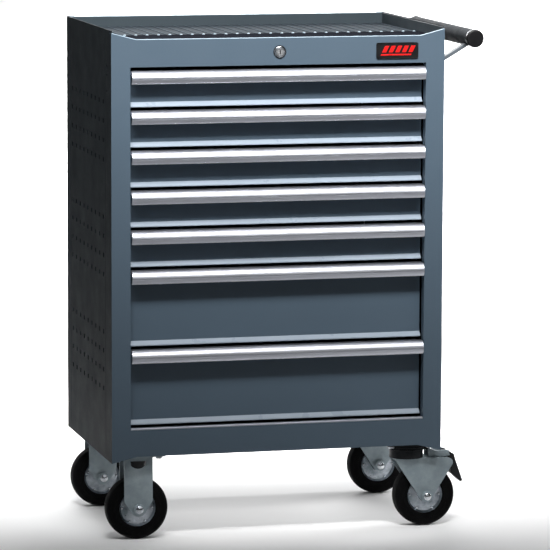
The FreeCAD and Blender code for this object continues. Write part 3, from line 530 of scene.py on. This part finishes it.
def badge():
    """An abstract mark of slanted bars over a line, and the plate's rounded rim."""
    middle_x, middle_z = 239.5, 965.3
    half_wide, half_high = 43, 16
    slant = 0.5
    work = bmesh.new()
    bars = [(-30 + 13.5 * k, 8.5, -3.5, 9.5) for k in range(5)] + [(-30, 62.5, -9.5, -6.5)]
    for left, width, bottom, top in bars:
        corners = [(left + bottom * slant, bottom), (left + width + bottom * slant, bottom),
                   (left + width + top * slant, top), (left + top * slant, top)]
        prism(work, [(middle_x + x, middle_z + z) for x, z in corners], "y", -2.5, -1.9)
    add("badge_mark", work, "cabinet", RED, 0.2)
    work = bmesh.new()
    outer, inner = [], []
    for cx, cz, turn in ((1, 1, 0), (-1, 1, 90), (-1, -1, 180), (1, -1, 270)):
        for k in range(7):
            a = math.radians(turn + 15 * k)
            for ring, radius, inset in ((outer, 4.0, 0.0), (inner, 3.2, 1.1)):
                x = middle_x + cx * (half_wide - inset - radius) + math.cos(a) * radius
                z = middle_z + cz * (half_high - inset - radius) + math.sin(a) * radius
                ring.append(work.verts.new(place(x, -1.9, z)))
    raise_by = Vector((0, -0.55 * MM, 0))
    raised = [[work.verts.new(v.co + raise_by) for v in ring] for ring in (outer, inner)]
    count = len(outer)
    for i in range(count):
        j = (i + 1) % count
        for a, b in ((outer, raised[0]), (raised[0], raised[1]), (raised[1], inner), (inner, outer)):
            work.faces.new((a[i], a[j], b[j], b[i]))
    add("badge_rim", work, "cabinet", LOOKS["black_plastic"], 0.15)


def drawers():
    """Each drawer's ribbed liner, runner screws and handle lip, and the balls of its slides."""
    for number in range(1, 8):
        body = f"drawer_{number}"
        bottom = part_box(f"drawer_{number}_tray")[0][2] / MM
        floor = bottom + 5.25
        work = bmesh.new()
        outline = [(30.0, floor), (30.0, floor + 0.9)]
        for k in range(64):
            y = 33.0 + 6.0 * k
            outline += [(y, floor + 0.9), (y + 0.5, floor + 1.6), (y + 2.5, floor + 1.6), (y + 3.0, floor + 0.9)]
        outline += [(418.0, floor + 0.9), (418.0, floor)]
        prism(work, outline, "x", -283.5, 283.5)
        add(f"drawer_{number}_liner", work, body, LINER)

        work = bmesh.new()
        for sign in (-1, 1):
            for y in (70, 230, 390):
                lathe(work, (285.6 * sign, y, bottom + 27.5), (-sign, 0, 0), RUNNER_SCREW, 20)
        add(f"drawer_{number}_screws", work, body, LOOKS["bolt_zinc"])

        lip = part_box(f"drawer_{number}_handle")[0][2] / MM + 1.3
        work = bmesh.new()
        bead(work, [(-297.2, -3.9, lip), (297.2, -3.9, lip)], 1.1)
        add(f"drawer_{number}_lip", work, body, BRIGHT)

        low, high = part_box(f"drawer_{number}_sliders")
        middle = (low[2] + high[2]) / 2 / MM
        work = bmesh.new()
        for sign in (-1, 1):
            for z in (middle - 14.2, middle + 14.2):
                for k in range(9):
                    lathe(work, (297.0 * sign, 240 + 10.5 * k, z), (0, 0, 1), SLIDE_BALL, 10)
        add(f"drawer_{number}_balls", work, f"slider_{number}", BRIGHT)


def lock_face():
    """Bright rim, dark gasket, turned plug face and keyway."""
    to_front = (0, -1, 0)
    work = bmesh.new()
    lathe(work, (0, -3, LOCK_HEIGHT), to_front, RIM_OF_LOCK, 48)
    add("lock_rim", work, "cabinet", BRIGHT)
    work = bmesh.new()
    lathe(work, (0, 0, LOCK_HEIGHT), to_front, LOCK_GASKET, 48)
    add("lock_gasket", work, "cabinet", LOOKS["black_plastic"])
    work = bmesh.new()
    for radius in (6.6, 5.2):
        ring = [(radius - 0.35, -0.2), (radius - 0.3, 0.22), (radius + 0.3, 0.22), (radius + 0.35, -0.2)]
        lathe(work, (0, -3.6, LOCK_HEIGHT), to_front, ring, 40)
    add("lock_plug_rings", work, "lock", BRIGHT)
    work = bmesh.new()
    outline = [(-0.9, 961.9), (0.9, 961.9), (0.9, 965.2), (1.5, 965.8), (1.5, 967.0), (0.7, 967.6),
               (0.7, 970.4), (-0.9, 970.4), (-0.9, 967.2), (-0.3, 966.6), (-0.3, 965.6), (-0.9, 965.0)]
    prism(work, outline, "y", -3.75, -3.5)
    add("lock_keyway", work, "lock", LOOKS["black_plastic"])


def push_handle():
    """Bright collars where the caps meet the sleeve, a ring on each cap, and the sleeve's flutes."""
    work = bmesh.new()
    rubber = bmesh.new()
    for collar, face, out in ((14, 6, -1), (430, 438, 1)):
        lathe(work, (GRIP_X, collar, GRIP_Z), (0, out, 0), GRIP_COLLAR, 48)
        lathe(rubber, (GRIP_X, face, GRIP_Z), (0, out, 0), CAP_RING, 40)
    add("grip_collars", work, "cabinet", BRIGHT)
    add("cap_rings", rubber, "cabinet", LOOKS["black_plastic"])
    work = bmesh.new()
    for a in turns(40):
        nx, nz = math.cos(a), math.sin(a)
        x, z = GRIP_X + GRIP_RADIUS * nx, GRIP_Z + GRIP_RADIUS * nz
        outline = [(x - nz * 0.55, z + nx * 0.55),
                   (x + nx * 0.5 - nz * 0.25, z + nz * 0.5 + nx * 0.25),
                   (x + nx * 0.5 + nz * 0.25, z + nz * 0.5 - nx * 0.25),
                   (x + nz * 0.55, z - nx * 0.55)]
        prism(work, outline, "y", 20, 424)
    add("grip_flutes", work, "cabinet", LOOKS["grip_grey"])


def wheels():
    """Rivets of the rims and raised beads of the tyres."""
    for row, y in ROWS:
        for side, x in SIDES:
            wheel = f"{row}_{side}_wheel"
            work = bmesh.new()
            rubber = bmesh.new()
            for out in (-1, 1):
                face = (x, y + 18 * out, AXLE_HEIGHT)
                lathe(rubber, face, (0, out, 0), INNER_BEAD, 64)
                lathe(rubber, face, (0, out, 0), OUTER_BEAD, 64)
                for a in turns(6):
                    rivet = (x + 31 * math.cos(a), y + 11.2 * out, AXLE_HEIGHT + 31 * math.sin(a))
                    lathe(work, rivet, (0, out, 0), RIM_RIVET, 16)
            add(f"{row}_{side}_rim_rivets", work, wheel, BRIGHT)
            add(f"{row}_{side}_tyre_beads", rubber, wheel, LOOKS["tyre_rubber"])


def castors():
    """Race seals, axle nuts and washers, cups inside the fixed forks, and the pedal's treads."""
    for row, y in ROWS:
        work = bmesh.new()
        for z in (158.2, 163.4):
            lathe(work, (KINGPIN_X, y, z), (0, 0, 1), RACE_SEAL, 64)
        for a in turns(14):
            ball = (KINGPIN_X + 37.4 * math.cos(a), y + 37.4 * math.sin(a), 160.8)
            lathe(work, ball, (0, 0, 1), RACE_BALL, 10)
        add(f"{row}_race_seal", work, "cabinet", LOOKS["bearing_dark"])
    for side, x in SIDES:
        for row, y in ROWS:
            body = "cabinet" if side == "left" else f"{row}_right_swivel"
            work = bmesh.new()
            washers = bmesh.new()
            for out, sides in ((-1, 32), (1, 6)):
                face = (x, y + 34 * out, AXLE_HEIGHT)
                lathe(washers, face, (0, out, 0), AXLE_WASHER, 40)
                lathe(work, face, (0, out, 0), AXLE_NUT, sides)
            add(f"{row}_{side}_axle_nuts", work, body, BRIGHT)
            add(f"{row}_{side}_axle_washers", washers, body, FORK_ZINC_LIT)
    for row, y in ROWS:
        work = bmesh.new()
        lathe(work, (-279, y, 134), (0, 0, 1), FORK_CUP, 40)
        add(f"{row}_left_fork_cup", work, "cabinet", LOOKS["black_plastic"])
    work = bmesh.new()
    for k in range(5):
        x, z = 384 + 2.2 * k, 118 - 7 * k
        prism(work, [(x, z), (x + 1.1, z + 1), (x + 2.0, z - 2.5), (x + 0.9, z - 3.5)], "y", 37.5, 58.5)
    add("pedal_treads", work, "brake", LOOKS["black_plastic"], 0.3)


# ---------------------------------------------------------------- floor, light, camera
def stage():
    """A wide pale floor."""
    mesh = bpy.data.meshes.new("floor")
    work = bmesh.new()
    bmesh.ops.create_grid(work, x_segments=1, y_segments=1, size=60.0)
    work.to_mesh(mesh)
    work.free()
    floor = bpy.data.objects.new("floor", mesh)
    bpy.context.scene.collection.objects.link(floor)
    s = Shader("pale_floor")
    tone = s.mix(s.noise(0.5, 3.0), (0.86, 0.86, 0.86), (0.9, 0.9, 0.9))
    mesh.materials.append(s.finish(tone, 0.9))


def lamp(name, spot, aim, size, power, spread):
    """A soft box that the camera doesn't see: size in metres, power in watts, spread in degrees."""
    data = bpy.data.lights.new(name, "AREA")
    data.shape = "RECTANGLE"
    data.size, data.size_y = size
    data.energy = power
    data.spread = math.radians(spread)
    made = bpy.data.objects.new(name, data)
    made.location = spot
    made.rotation_euler = (Vector(aim) - Vector(spot)).to_track_quat("-Z", "Y").to_euler()
    made.visible_camera = False
    bpy.context.scene.collection.objects.link(made)
    return made


def lamps():
    """A strip for the front, pools on the floor, and weak fills for the back and the right side."""
    lamp("key", (-0.15, -1.22, 2.12), (-0.02, -0.2, 0.99), (2.2, 0.4), 12.5, 42)
    far = lamp("floor_far", (3.55, 13.2, 2.6), (3.55, 13.2, 0.0), (2.8, 22.0), 1100, 50)
    far.rotation_euler = (0.0, 0.0, math.radians(-14.5))
    lamp("floor_near", (0.35, 1.15, 2.4), (0.35, 1.15, 0.0), (1.3, 1.3), 14, 24)
    lamp("rear_fill", (0.5, 3.0, 1.9), (0.0, 0.2, 0.5), (2.4, 1.4), 24, 110)
    lamp("right_fill", (2.9, 0.7, 1.5), (0.4, 0.0, 0.5), (1.4, 1.4), 10, 80)
    lamp("floor_under", (-0.03, -0.1, 0.15), (-0.03, -0.1, 0.0), (0.62, 0.42), 0.5, 150)


def camera():
    """A long lens in front, above and to the left."""
    focal_pixels, picture_pixels, sensor = 3763.1, 550.0, 36.0
    yaw, pitch, roll = (math.radians(v) for v in (14.48, 7.82, 0.22))
    ahead = Vector((math.sin(yaw) * math.cos(pitch), math.cos(yaw) * math.cos(pitch), -math.sin(pitch)))
    right = ahead.cross(Vector((0, 0, 1))).normalized()
    up = right.cross(ahead)
    right, up = (right * math.cos(roll) + up * math.sin(roll),
                 up * math.cos(roll) - right * math.sin(roll))
    data = bpy.data.cameras.new("camera")
    data.sensor_width = sensor
    data.lens = focal_pixels * sensor / picture_pixels
    data.clip_end = 200.0
    made = bpy.data.objects.new("camera", data)
    turn = Matrix((right, up, -ahead)).transposed().to_4x4()
    made.matrix_world = Matrix.Translation((-1.8888, -7.3427, 1.5363)) @ turn
    bpy.context.scene.collection.objects.link(made)
    bpy.context.scene.camera = made


def world():
    """A soft dome, brightest overhead and behind, dim in front where the key does the work."""
    made = bpy.data.worlds.new("studio")
    made.use_nodes = True
    tree = made.node_tree
    parts = tree.nodes.new("ShaderNodeSeparateXYZ")
    tree.links.new(tree.nodes.new("ShaderNodeTexCoord").outputs["Generated"], parts.inputs[0])
    both = tree.nodes.new("ShaderNodeMath")
    for spot, axis, numbers in ((0, "Z", (0.0, 1.0, 0.008, 0.16)), (1, "Y", (0.1, 0.9, 0.0, 0.3))):
        ramp = tree.nodes.new("ShaderNodeMapRange")
        ramp.interpolation_type = "SMOOTHSTEP"
        tree.links.new(parts.outputs[axis], ramp.inputs["Value"])
        for key, number in zip(("From Min", "From Max", "To Min", "To Max"), numbers):
            ramp.inputs[key].default_value = number
        tree.links.new(ramp.outputs["Result"], both.inputs[spot])
    back = tree.nodes["Background"]
    tree.links.new(both.outputs[0], back.inputs["Strength"])
    back.inputs["Color"].default_value = (0.96, 0.98, 1.0, 1.0)
    bpy.context.scene.world = made
    bpy.context.scene.view_settings.view_transform = "Standard"


rounded_parts()
cabinet()
hems()
badge()
drawers()
lock_face()
push_handle()
wheels()
castors()
stage()
world()
camera()
lamps()
